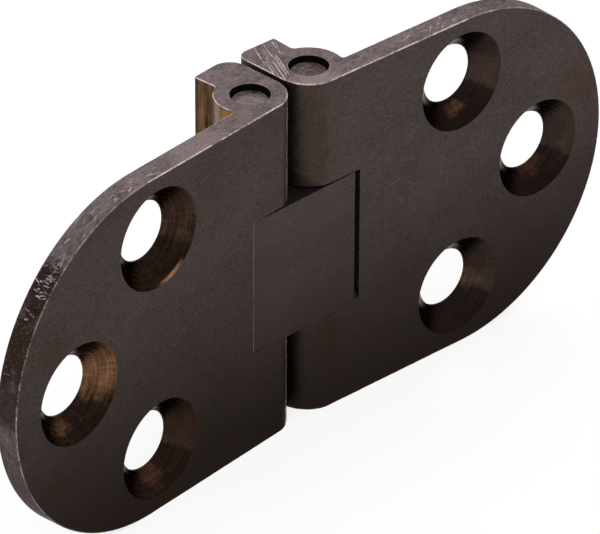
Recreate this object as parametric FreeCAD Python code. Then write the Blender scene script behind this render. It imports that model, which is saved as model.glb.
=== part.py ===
import FreeCAD, Part
import math
import os

# Self-supporting flush hinge: two round-ended leaves that swing about two parallel pins,
# joined by a short link in a notch. Stop dogs behind the knuckles meet when the leaves
# lie flat, so that the hinge carries a flap without a stay.
#
# Frame: +Z runs up along the pins, +X along the hinge towards the right leaf, +Y backwards
# into the wood. The origin is on the link's front face, midway between the pins and at
# mid-width of the leaves. All sizes are in millimetres and degrees.

# Leaves
leaf_width = 30.0
plate_thickness = 2.0
left_reach = 32.9
right_reach = 32.5

# Countersunk screw holes, three in each leaf
screw_hole_diameter = 5.0
countersink_diameter = 8.5
countersink_angle = 90.0
near_hole_distance = 16.9
near_hole_spacing = 19.0
tip_hole_inset = 6.95

# Pins
pin_diameter = 3.2
pin_spacing = 6.3
pin_depth = 2.85
pin_recess = 0.5
pin_end_chamfer = 0.2

# Knuckles with their stop dogs
dog_depth = 7.85
dog_overhang = 0.85
left_dog_inner_radius = 1.6
right_dog_inner_radius = 1.0
dog_outer_radius = 0.2
dog_root_radius = 0.5
barrel_root_radius = 0.2

# Link and its notch
link_width = 12.0
link_depth = 5.8
notch_offset = -0.3

# Clearances
barrel_gap = 0.5
stop_gap = 0.1
running_clearance = 0.05
link_side_gap = 0.08
link_end_gap = 0.37
shut_gap = 0.05

# Rest pose: how far each leaf is folded forwards from flat
left_fold = 4.9
right_fold = 2.5

# Derived sizes
half_width = leaf_width / 2
half_spacing = pin_spacing / 2
pin_radius = pin_diameter / 2
link_bore_radius = pin_radius + running_clearance
barrel_radius = half_spacing - barrel_gap / 2
notch_reach = pin_depth + shut_gap
notch_radius = math.hypot(notch_reach, pin_depth)
link_end_radius = notch_radius - link_end_gap
notch_height = link_width + 2 * link_side_gap
margin = 1.0

LEFT = -1
RIGHT = 1


def across(outwards, back, side=RIGHT):
    """A point of a cross-section: distance from the mid-plane, depth, and the leaf's side."""
    return FreeCAD.Vector(side * outwards, back, 0)


def half_chord(radius, offset):
    """Half the chord that a line at this offset from the centre cuts from a circle."""
    return math.sqrt(radius ** 2 - offset ** 2)


def on_circle(centre, radius, towards):
    """The point of a circle that lies in the direction of another point."""
    direction = towards - centre
    direction.normalize()
    return centre + direction * radius


def shared_tangent(centre, radius, far_centre, far_radius):
    """Where the line that touches two circles on their inner side meets each of them."""
    between = far_centre - centre
    turn = math.atan2(between.y, between.x) + math.acos((radius - far_radius) / between.Length)
    normal = FreeCAD.Vector(math.cos(turn), math.sin(turn), 0)
    return centre + normal * radius, far_centre + normal * far_radius


def outline(start, steps, side):
    """Edges of a closed section. A step is the next point, and the centre if it is an arc."""
    edges = []
    here = start
    for there, centre in steps:
        ends = [across(point.x, point.y, side) for point in (here, there)]
        if centre is None:
            edges.append(Part.makeLine(*ends))
        else:
            bulge = on_circle(centre, (here - centre).Length, (here + there) * 0.5)
            middle = across(bulge.x, bulge.y, side)
            edges.append(Part.Arc(ends[0], middle, ends[1]).toShape())
        here = there
    return edges


def prism(edges, bottom, height):
    """A closed outline of edges in the XY plane, raised along the pins."""
    face = Part.Face(Part.Wire(edges))
    face.translate(FreeCAD.Vector(0, 0, bottom))
    return face.extrude(FreeCAD.Vector(0, 0, height))


def pin_axis(side=RIGHT):
    """Where a pin's axis crosses the XY plane."""
    return across(half_spacing, pin_depth, side)


def upright_cylinder(radius, side, bottom, height):
    """A cylinder about one pin's axis."""
    base = pin_axis(side) + FreeCAD.Vector(0, 0, bottom)
    return Part.makeCylinder(radius, height, base, FreeCAD.Vector(0, 0, 1))


# The leaf's section: plate, barrel round the pin, and the stop dog behind the barrel.
# The stop face touches the barrel and the dog's rounded inner corner, which stands
# nearest the mid-plane, so that the two dogs meet there when the leaves lie flat.
def leaf_section(side, reach, inner_radius):
    pin = pin_axis()
    dog_x = half_spacing + dog_overhang
    inner = across(stop_gap / 2 + inner_radius, dog_depth - inner_radius)
    outer = across(dog_x - dog_outer_radius, dog_depth - dog_outer_radius)
    root_reach = barrel_radius + dog_root_radius
    root_x = dog_x + dog_root_radius
    root = across(root_x, pin_depth + half_chord(root_reach, root_x - half_spacing))
    seat_reach = barrel_radius + barrel_root_radius
    seat_y = plate_thickness + barrel_root_radius
    seat = across(half_spacing + half_chord(seat_reach, seat_y - pin_depth), seat_y)
    front = across(half_spacing - half_chord(barrel_radius, pin_depth), 0)
    stop_start, stop_end = shared_tangent(pin, barrel_radius, inner, inner_radius)
    steps = [
        (stop_start, pin),
        (stop_end, None),
        (across(inner.x, dog_depth), inner),
        (across(outer.x, dog_depth), None),
        (across(dog_x, outer.y), outer),
        (across(dog_x, root.y), None),
        (on_circle(pin, barrel_radius, root), root),
        (on_circle(pin, barrel_radius, seat), pin),
        (across(seat.x, plate_thickness), seat),
        (across(reach, plate_thickness), None),
        (across(reach, 0), None),
        (front, None),
    ]
    return outline(front, steps, side)


# The leaf's outline, seen from the front: square at the knuckles, a full round at the tip.
def round_end_blank(side, reach):
    end_centre = FreeCAD.Vector(side * (reach - half_width), -margin, 0)
    depth = dog_depth + 2 * margin
    end = Part.makeCylinder(half_width, depth, end_centre, FreeCAD.Vector(0, 1, 0))
    length = reach - half_width + margin
    start_x = -margin if side == RIGHT else margin - length
    corner = FreeCAD.Vector(start_x, -margin, -half_width)
    straight = Part.makeBox(length, depth, leaf_width, corner)
    return end.fuse(straight)


# The notch for the link: a round pocket about the pin, and a slot that takes away the dog.
def notch(side):
    bottom = notch_offset - notch_height / 2
    pocket = upright_cylinder(notch_radius, side, bottom, notch_height)
    inner = -margin
    outer = half_spacing + dog_overhang + dog_root_radius
    back = dog_depth + margin
    steps = [
        (across(half_spacing, -margin), None),
        (across(half_spacing, pin_depth), None),
        (across(outer, pin_depth), None),
        (across(outer, back), None),
        (across(inner, back), None),
        (across(inner, -margin), None),
    ]
    slot = prism(outline(across(inner, -margin), steps, side), bottom, notch_height)
    return pocket.fuse(slot)


def screw_hole(side, distance, height):
    """A countersunk through hole, drilled from the leaf's front face."""
    backwards = FreeCAD.Vector(0, 1, 0)
    mouth = FreeCAD.Vector(side * distance, 0, height)
    mouth_radius = countersink_diameter / 2
    hole_radius = screw_hole_diameter / 2
    sink_depth = (mouth_radius - hole_radius) / math.tan(math.radians(countersink_angle / 2))
    sink = Part.makeCone(mouth_radius, hole_radius, sink_depth, mouth, backwards)
    hole = Part.makeCylinder(hole_radius, plate_thickness + margin, mouth, backwards)
    return sink.fuse(hole)


def screw_places(reach):
    """Distance from the mid-plane and height of each screw hole's axis."""
    return [
        (near_hole_distance, near_hole_spacing / 2),
        (reach - tip_hole_inset, 0),
        (near_hole_distance, -near_hole_spacing / 2),
    ]


def folded(shape, side, fold):
    """Turns a piece about its pin, from flat to the rest pose."""
    shape.rotate(pin_axis(side), FreeCAD.Vector(0, 0, 1), -side * fold)
    return shape


def leaf(side, reach, fold, inner_radius):
    """One leaf in its rest pose: an extruded section, trimmed, notched and drilled."""
    blank = prism(leaf_section(side, reach, inner_radius), -half_width, leaf_width)
    solid = blank.common(round_end_blank(side, reach))
    solid = solid.cut(notch(side))
    solid = solid.cut(upright_cylinder(pin_radius, side, -half_width, leaf_width))
    for distance, height in screw_places(reach):
        solid = solid.cut(screw_hole(side, distance, height))
    return folded(solid.removeSplitter(), side, fold)


def pin(side, fold):
    """A plain pin, sunk a little below the knuckles' end faces, with chamfered ends."""
    length = leaf_width - 2 * pin_recess
    solid = upright_cylinder(pin_radius, side, -length / 2, length)
    rims = [edge for edge in solid.Edges if abs(abs(edge.CenterOfMass.z) - length / 2) < 1e-6]
    return folded(solid.makeChamfer(pin_end_chamfer, rims), side, fold)


# The link: its round ends are centred on the pins and its front face is flush with the leaves.
def link():
    front = across(half_spacing + half_chord(link_end_radius, pin_depth), 0)
    back_x = half_spacing + half_chord(link_end_radius, link_depth - pin_depth)
    back = across(back_x, link_depth)
    inner_front = across(0, 0)
    inner_back = across(0, link_depth)
    bottom = notch_offset - link_width / 2
    halves = []
    for side in (LEFT, RIGHT):
        steps = [(back, pin_axis()), (inner_back, None), (inner_front, None), (front, None)]
        halves.append(prism(outline(front, steps, side), bottom, link_width))
    solid = halves[0].fuse(halves[1]).removeSplitter()
    for side in (LEFT, RIGHT):
        solid = solid.cut(upright_cylinder(link_bore_radius, side, bottom, link_width))
    return solid


def single(shape):
    """The one solid of a cut or fused shape."""
    if len(shape.Solids) != 1:
        raise ValueError("expected one solid, found {}".format(len(shape.Solids)))
    return shape.Solids[0]


pieces = {
    "left_leaf": leaf(LEFT, left_reach, left_fold, left_dog_inner_radius),
    "right_leaf": leaf(RIGHT, right_reach, right_fold, right_dog_inner_radius),
    "left_pin": pin(LEFT, left_fold),
    "right_pin": pin(RIGHT, right_fold),
    "link": link(),
}

os.makedirs("parts", exist_ok=True)
for name, shape in pieces.items():
    solid = single(shape)
    solid.exportStep(os.path.join("parts", name + ".step"))
    box = solid.BoundBox
    print("{}: {:.1f} mm3, x {:.2f} to {:.2f}, y {:.2f} to {:.2f}, z {:.2f} to {:.2f}".format(
        name, solid.Volume, box.XMin, box.XMax, box.YMin, box.YMax, box.ZMin, box.ZMax))
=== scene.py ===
import logging
import math
import random
from collections.abc import Callable, Iterable, Sequence
from dataclasses import dataclass
from enum import Enum, IntEnum

import bmesh
import bpy
from bmesh.types import BMEdge, BMesh, BMFace, BMVert
from bpy.types import Material, Mesh, Node, NodeSocket, NodeTree, Object, World
from mathutils import Matrix, Vector, noise


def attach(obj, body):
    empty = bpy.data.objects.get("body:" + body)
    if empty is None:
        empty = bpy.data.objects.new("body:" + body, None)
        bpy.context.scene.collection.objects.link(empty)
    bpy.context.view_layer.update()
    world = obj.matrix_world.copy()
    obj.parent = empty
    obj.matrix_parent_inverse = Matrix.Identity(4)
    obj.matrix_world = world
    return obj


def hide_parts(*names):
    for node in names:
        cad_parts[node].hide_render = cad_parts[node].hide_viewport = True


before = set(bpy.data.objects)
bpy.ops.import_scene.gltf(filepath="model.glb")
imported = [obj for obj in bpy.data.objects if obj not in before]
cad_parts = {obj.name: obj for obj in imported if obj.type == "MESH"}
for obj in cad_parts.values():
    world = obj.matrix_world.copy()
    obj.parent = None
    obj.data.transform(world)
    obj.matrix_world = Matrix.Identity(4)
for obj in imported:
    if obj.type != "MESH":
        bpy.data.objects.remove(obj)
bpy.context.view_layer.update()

LOG = logging.getLogger("flap_hinge")

MM = 0.001
RIGHTWARDS = Vector((1, 0, 0))
BACK = Vector((0, 1, 0))
UP = Vector((0, 0, 1))
FULL_TURN = 2 * math.pi
JOIN_DISTANCE = 1e-4
ARC_STEP = math.radians(3.0)
SHARP_ANGLE = math.radians(25)
SMOOTH_ANGLE = math.radians(50)
FLAT_ANGLE = math.radians(0.05)

# How near its surface a face has to lie, and how level or frontal its normal has to be
ON_SURFACE = 0.02
SINK_SLACK = 0.01
LEVEL = 0.9
FRONTAL = 0.95

# Directions across the scratches, the saw grooves' run, and the wear a stroke may have, which is partly a
# painted highlight
SCRATCH_ASIDE = ((0.83, 0.20, 0.52), (-0.42, 0.55, 0.72), (0.15, 0.40, -0.90))
SAW_SLANT = Vector((0.387, 0.922, 0))
STROKE_WEAR = (0.0, 0.2, 0.5, 0.9)

# Steps of a full turn
NOTCH_STEPS = 120
BORE_STEPS = 96
PIN_STEPS = 72

Colour = tuple[float, float, float]
Place = tuple[float, float, float]
Value = float | Colour | NodeSocket
Inputs = dict[str, NodeSocket]


class Side(Enum):
    """Which leaf, by the sign of its distance from the mid-plane."""

    LEFT = -1
    RIGHT = 1


class Zone(IntEnum):
    """Kinds of surface on a leaf, in the order of its material slots."""

    FACE = 0
    RIM = 1
    SINK = 2
    STEP = 3
    SHADE = 4
    SEAT = 5


class LinkZone(IntEnum):
    """Kinds of surface on the link, in the order of its material slots."""

    FACE = 0
    END = 1
    BORE = 2


# Meshes

class Outline:
    """A closed flat outline, drawn by straight lines and spun arcs, in millimetres."""

    def __init__(self, start: Vector, normal: Vector = UP) -> None:
        """Starts the outline.

        Args:
            start: The first point.
            normal: The direction in which the filled outline is raised.
        """
        self.mesh = bmesh.new()
        self.normal = normal
        self.first = self.mesh.verts.new(start)
        self.last = self.first

    def line(self, there: Vector) -> "Outline":
        """Draws a straight line.

        Args:
            there: Where it ends.

        Returns:
            The outline itself.
        """
        vert = self.mesh.verts.new(there)
        self.mesh.edges.new((self.last, vert))
        self.last = vert
        return self

    def arc(self, there: Vector, centre: Vector) -> "Outline":
        """Spins the last point about a centre, the short way round, to a point.

        Args:
            there: Where the arc ends.
            centre: The arc's centre.

        Returns:
            The outline itself.
        """
        start, end = self.last.co - centre, there - centre
        angle = math.atan2(self.normal.dot(start.cross(end)), start.dot(end))
        steps = max(2, math.ceil(abs(angle) / ARC_STEP))
        spun = bmesh.ops.spin(
            self.mesh, geom=[self.last], cent=centre, axis=self.normal,
            angle=angle, steps=steps, use_merge=False, use_duplicate=False,
        )
        self.last = next(v for v in spun["geom_last"] if isinstance(v, BMVert))
        return self

    def follow(self, steps: Iterable[tuple[Vector, Vector | None]]) -> "Outline":
        """Draws a run of lines and arcs.

        Args:
            steps: Each one's end point and, for an arc, its centre.

        Returns:
            The outline itself.
        """
        for there, centre in steps:
            if centre is None:
                self.line(there)
            else:
                self.arc(there, centre)
        return self

    def raised(self, height: float) -> BMesh:
        """Closes the outline, fills it and extrudes it.

        Args:
            height: How far it is extruded along the normal.

        Returns:
            A closed mesh with its normals outwards.
        """
        mesh = self.mesh
        mesh.edges.new((self.last, self.first))
        face = bmesh.ops.contextual_create(mesh, geom=mesh.edges[:])["faces"][0]
        lid = bmesh.ops.extrude_face_region(mesh, geom=[face])["geom"]
        verts = [v for v in lid if isinstance(v, BMVert)]
        bmesh.ops.translate(mesh, vec=self.normal * height, verts=verts)
        bmesh.ops.recalc_face_normals(mesh, faces=mesh.faces[:])
        return mesh


def turned(points: Sequence[Vector], centre: Vector, axis: Vector, steps: int) -> BMesh:
    """Spins a profile once round an axis.

    Args:
        points: The profile, which starts and ends on the axis.
        centre: A point of the axis.
        axis: The axis' direction.
        steps: How many steps make the full turn.

    Returns:
        A closed mesh with its normals outwards.
    """
    mesh = bmesh.new()
    verts = [mesh.verts.new(point) for point in points]
    edges = [mesh.edges.new(pair) for pair in zip(verts, verts[1:])]
    bmesh.ops.spin(
        mesh, geom=verts + edges, cent=centre, axis=axis, angle=FULL_TURN,
        steps=steps, use_merge=True, use_duplicate=False,
    )
    bmesh.ops.remove_doubles(mesh, verts=mesh.verts[:], dist=JOIN_DISTANCE)
    bmesh.ops.recalc_face_normals(mesh, faces=mesh.faces[:])
    return mesh


def post(foot: Vector, radius: float, height: float, steps: int) -> BMesh:
    """An upright cylinder that stands on its foot point."""
    rim = foot + RIGHTWARDS * radius
    return turned([foot, rim, rim + UP * height, foot + UP * height], foot, UP, steps)


def as_object(mesh: BMesh, name: str) -> Object:
    """Turns a mesh into a linked object.

    Args:
        mesh: The mesh, which is used up.
        name: The object's name.

    Returns:
        The object, linked into the scene.
    """
    data = bpy.data.meshes.new(name)
    mesh.to_mesh(data)
    mesh.free()
    made = bpy.data.objects.new(name, data)
    bpy.context.scene.collection.objects.link(made)
    return made


def evaluated(target: Object) -> Mesh:
    """The object's mesh with its modifiers applied."""
    graph = bpy.context.evaluated_depsgraph_get()
    return bpy.data.meshes.new_from_object(target.evaluated_get(graph), depsgraph=graph)


def discard(objects: Iterable[Object]) -> None:
    """Removes helper objects and their meshes.

    Args:
        objects: The helpers.
    """
    for helper in objects:
        data = helper.data
        bpy.data.objects.remove(helper)
        bpy.data.meshes.remove(data)


def carved(
    body: BMesh, cuts: Sequence[tuple[str, BMesh]], crossing: bool = False,
) -> BMesh:
    """Cuts a body with other meshes, in order.

    Args:
        body: The mesh to cut, which is used up.
        cuts: Pairs of a boolean operation's name and its cutter, also used up.
        crossing: Whether the parts of one cutter cross each other.

    Returns:
        The cut mesh, cleaned of doubled points and needless edges.
    """
    target = as_object(body, "carved_body")
    helpers = [target]
    for operation, cutter in cuts:
        tool = as_object(cutter, "cutter")
        helpers.append(tool)
        cut = target.modifiers.new("cut", "BOOLEAN")
        cut.operation = operation
        cut.solver = "EXACT"
        cut.use_self = crossing
        cut.object = tool
    data = evaluated(target)
    mesh = bmesh.new()
    mesh.from_mesh(data)
    bpy.data.meshes.remove(data)
    discard(helpers)
    bmesh.ops.remove_doubles(mesh, verts=mesh.verts[:], dist=JOIN_DISTANCE)
    bmesh.ops.dissolve_limit(
        mesh, angle_limit=FLAT_ANGLE, use_dissolve_boundaries=False,
        verts=mesh.verts[:], edges=mesh.edges[:], delimit=set(),
    )
    return mesh


@dataclass(frozen=True)
class Gouge:
    """A shallow mark in a surface, made by a long ball that is pressed in from outside.

    Its wear says how bright the metal in it is, from 0 to 1: partly bared metal, partly a painted
    highlight for the light the mark would catch. Its lift says how far the ball's middle stays
    above the surface, in depths.
    """

    place: Vector
    along: Vector
    outward: Vector
    length: float
    width: float
    depth: float
    wear: float
    lift_share: float = 1.5

    @property
    def matrix(self) -> Matrix:
        """Stretches, turns and places a unit ball as the mark's cutter."""
        lift = self.lift_share * self.depth
        columns = (
            self.along.normalized() * self.length / 2,
            self.outward.cross(self.along).normalized() * self.width / 2,
            self.outward * (self.depth + lift),
        )
        placed = Matrix(columns).transposed().to_4x4()
        placed.translation = self.place + self.outward * lift
        return placed


def gouged(body: BMesh, marks: Sequence[Gouge]) -> BMesh:
    """Cuts shallow marks into a body and carries their wear and painted highlight over to it.

    Args:
        body: The mesh to mark, which is used up.
        marks: The marks, which may cross each other.

    Returns:
        The marked mesh.
    """
    cutter = bmesh.new()
    layer = cutter.loops.layers.float.new("edge")
    for mark in marks:
        ball = bmesh.ops.create_icosphere(cutter, subdivisions=2, radius=1.0, matrix=mark.matrix)
        for vert in ball["verts"]:
            for loop in vert.link_loops:
                loop[layer] = mark.wear
    return carved(body, [("DIFFERENCE", cutter)], crossing=True)


def break_edges(
    mesh: BMesh, width: float, chosen: Callable[[BMEdge], bool],
) -> list[BMFace]:
    """Rounds the sharp edges of one group a little.

    Args:
        mesh: The mesh to change.
        width: How far the rounding reaches from the edge.
        chosen: Tells whether an edge is in the group.

    Returns:
        The faces of the rounding.
    """
    sharp = [
        edge for edge in mesh.edges
        if edge.is_manifold and edge.calc_face_angle() > SHARP_ANGLE and chosen(edge)
    ]
    made = bmesh.ops.bevel(
        mesh, geom=sharp, offset=width, offset_type="OFFSET", segments=3, profile=0.5,
        affect="EDGES", clamp_overlap=False, loop_slide=True, material=-1,
    )
    return made["faces"]


def middle_of(edge: BMEdge) -> Vector:
    """An edge's midpoint."""
    return (edge.verts[0].co + edge.verts[1].co) / 2


def finished(mesh: BMesh, name: str, materials: Sequence[Material]) -> Object:
    """Brings a piece to metres, smooths its shading and gives it its materials.

    Args:
        mesh: The piece in millimetres, which is used up.
        name: The piece's name.
        materials: The materials, in the order of the faces' indices.

    Returns:
        The finished object, at the origin.
    """
    bmesh.ops.scale(mesh, vec=(MM, MM, MM), verts=mesh.verts[:])
    for face in mesh.faces:
        face.smooth = True
    for edge in mesh.edges:
        edge.smooth = not (edge.is_manifold and edge.calc_face_angle() > SMOOTH_ANGLE)
    piece = as_object(mesh, name)
    for material in materials:
        piece.data.materials.append(material)
    weighted = piece.modifiers.new("even_shading", "WEIGHTED_NORMAL")
    weighted.keep_sharp = True
    weighted.weight = 100
    return piece


# The hinge's sizes

@dataclass(frozen=True)
class Sizes:
    """Sizes of the hinge's solids, in millimetres."""

    leaf_width: float = 30.0
    plate_thickness: float = 2.0
    hole_radius: float = 2.5
    sink_radius: float = 4.25
    sink_depth: float = 1.75
    near_hole_distance: float = 16.9
    near_hole_spacing: float = 19.0
    tip_hole_inset: float = 6.95
    pin_radius: float = 1.6
    pin_recess: float = 0.5
    pin_chamfer: float = 0.2
    half_spacing: float = 3.15
    pin_depth: float = 2.85
    barrel_radius: float = 2.9
    barrel_root_radius: float = 0.2
    dog_depth: float = 7.85
    dog_overhang: float = 0.85
    dog_outer_radius: float = 0.2
    dog_root_radius: float = 0.5
    link_width: float = 12.0
    link_depth: float = 5.8
    link_offset: float = -0.3
    link_side_gap: float = 0.08
    link_end_gap: float = 0.37
    running_clearance: float = 0.05
    stop_gap: float = 0.1
    shut_gap: float = 0.05
    link_sag: float = 0.06
    outer_break: float = 0.08
    inner_break: float = 0.02
    margin: float = 1.0

    @property
    def half_width(self) -> float:
        """Half the leaf's width."""
        return self.leaf_width / 2

    def pin_of(self, side: Side) -> Vector:
        """Where one side's pin axis crosses the level plane."""
        return Vector((side.value * self.half_spacing, self.pin_depth, 0))

    @property
    def pin_centre(self) -> Vector:
        """The pin axis of the flat leaf, which is made as a right-hand one."""
        return self.pin_of(Side.RIGHT)

    @property
    def blank_height(self) -> float:
        """Height of a blank or cutter that goes through the whole leaf."""
        return self.leaf_width + 2 * self.margin

    @property
    def notch_radius(self) -> float:
        """Radius of the round pocket about a pin."""
        return math.hypot(self.pin_depth + self.shut_gap, self.pin_depth)

    @property
    def notch_height(self) -> float:
        """Height of the notch that takes the link."""
        return self.link_width + 2 * self.link_side_gap

    @property
    def link_end_radius(self) -> float:
        """Radius of the link's round ends."""
        return self.notch_radius - self.link_end_gap


def half_chord(radius: float, offset: float) -> float:
    """Half the chord that a line at this offset from the centre cuts from a circle."""
    return math.sqrt(radius ** 2 - offset ** 2)


def on_circle(centre: Vector, radius: float, towards: Vector) -> Vector:
    """The point of a circle in the direction of another point."""
    return centre + (towards - centre).normalized() * radius


def shared_tangent(
    centre: Vector, radius: float, far_centre: Vector, far_radius: float,
) -> tuple[Vector, Vector]:
    """Where the line that touches two circles on their inner side meets each of them.

    Args:
        centre: The first circle's centre.
        radius: The first circle's radius.
        far_centre: The second circle's centre.
        far_radius: The second circle's radius.

    Returns:
        The touching points on the first and on the second circle.
    """
    between = far_centre - centre
    turn = math.atan2(between.y, between.x) + math.acos((radius - far_radius) / between.length)
    normal = Vector((math.cos(turn), math.sin(turn), 0))
    return centre + normal * radius, far_centre + normal * far_radius


# Shader nodes

class Graph:
    """Adds nodes to a node tree and links them."""

    def __init__(self, tree: NodeTree) -> None:
        """Takes the node tree to fill."""
        self.tree = tree

    def node(
        self, kind: str, inputs: dict[str | int, Value] | None = None, **settings: object,
    ) -> Node:
        """Adds one node.

        Args:
            kind: The node's type name.
            inputs: Values or sockets by input name or index.
            **settings: Attributes of the node, set before its inputs.

        Returns:
            The new node.
        """
        made = self.tree.nodes.new(kind)
        for name, value in settings.items():
            setattr(made, name, value)
        for key, value in (inputs or {}).items():
            if isinstance(value, NodeSocket):
                self.tree.links.new(value, made.inputs[key])
            else:
                made.inputs[key].default_value = value
        return made

    def over(self, kind: str, values: Sequence[Value], **settings: object) -> Node:
        """Adds one node whose inputs are given in their order."""
        return self.node(kind, dict(enumerate(values)), **settings)

    def math(self, operation: str, *values: Value) -> NodeSocket:
        """One Math node over its values."""
        return self.over("ShaderNodeMath", values, operation=operation).outputs[0]

    def vector(self, operation: str, *values: Value) -> NodeSocket:
        """One Vector Math node over its values."""
        return self.over("ShaderNodeVectorMath", values, operation=operation).outputs[0]

    def reach(self, operation: str, *values: Value) -> NodeSocket:
        """One Vector Math node whose result is a number, such as a length."""
        return self.over("ShaderNodeVectorMath", values, operation=operation).outputs["Value"]

    def joined(self, *parts: Value) -> NodeSocket:
        """A vector of its parts, of which the missing ones are 0."""
        return self.over("ShaderNodeCombineXYZ", parts).outputs[0]

    def parts(self, vector: Value) -> Sequence[NodeSocket]:
        """The x, y and z of a vector."""
        return self.over("ShaderNodeSeparateXYZ", [vector]).outputs

    def attribute(self, name: str, output: str) -> NodeSocket:
        """One output of a named attribute of the mesh."""
        return self.node("ShaderNodeAttribute", attribute_name=name).outputs[output]

    def noise(self, vector: Value, scale: Value, detail: float, rough: float = 0.55) -> NodeSocket:
        """The value of a Noise texture."""
        inputs = {"Vector": vector, "Scale": scale, "Detail": detail, "Roughness": rough}
        return self.node("ShaderNodeTexNoise", inputs).outputs["Fac"]

    def ramp(self, value: Value, low: Value, high: Value) -> NodeSocket:
        """A smooth step from 0 at low to 1 at high."""
        inputs = {"Value": value, "From Min": low, "From Max": high}
        made = self.node("ShaderNodeMapRange", inputs, interpolation_type="SMOOTHSTEP")
        return made.outputs["Result"]

    def blend(self, share: Value, first: Value, second: Value) -> NodeSocket:
        """A colour between two, by a share from 0 to 1."""
        ends = (end if isinstance(end, NodeSocket) else (*end, 1.0) for end in (first, second))
        inputs = dict(zip((0, 6, 7), (share, *ends)))
        return self.node("ShaderNodeMix", inputs, data_type="RGBA").outputs[2]

    def group(self, effect: NodeTree, inputs: dict[str, Value]) -> NodeSocket:
        """Places a node group and gives its first output."""
        return self.node("ShaderNodeGroup", inputs, node_tree=effect).outputs[0]


def emptied(owner: Material | World) -> Graph:
    """Clears a material's or a world's nodes.

    Args:
        owner: The material or world.

    Returns:
        Its graph.
    """
    owner.use_nodes = True
    owner.node_tree.nodes.clear()
    return Graph(owner.node_tree)


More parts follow.
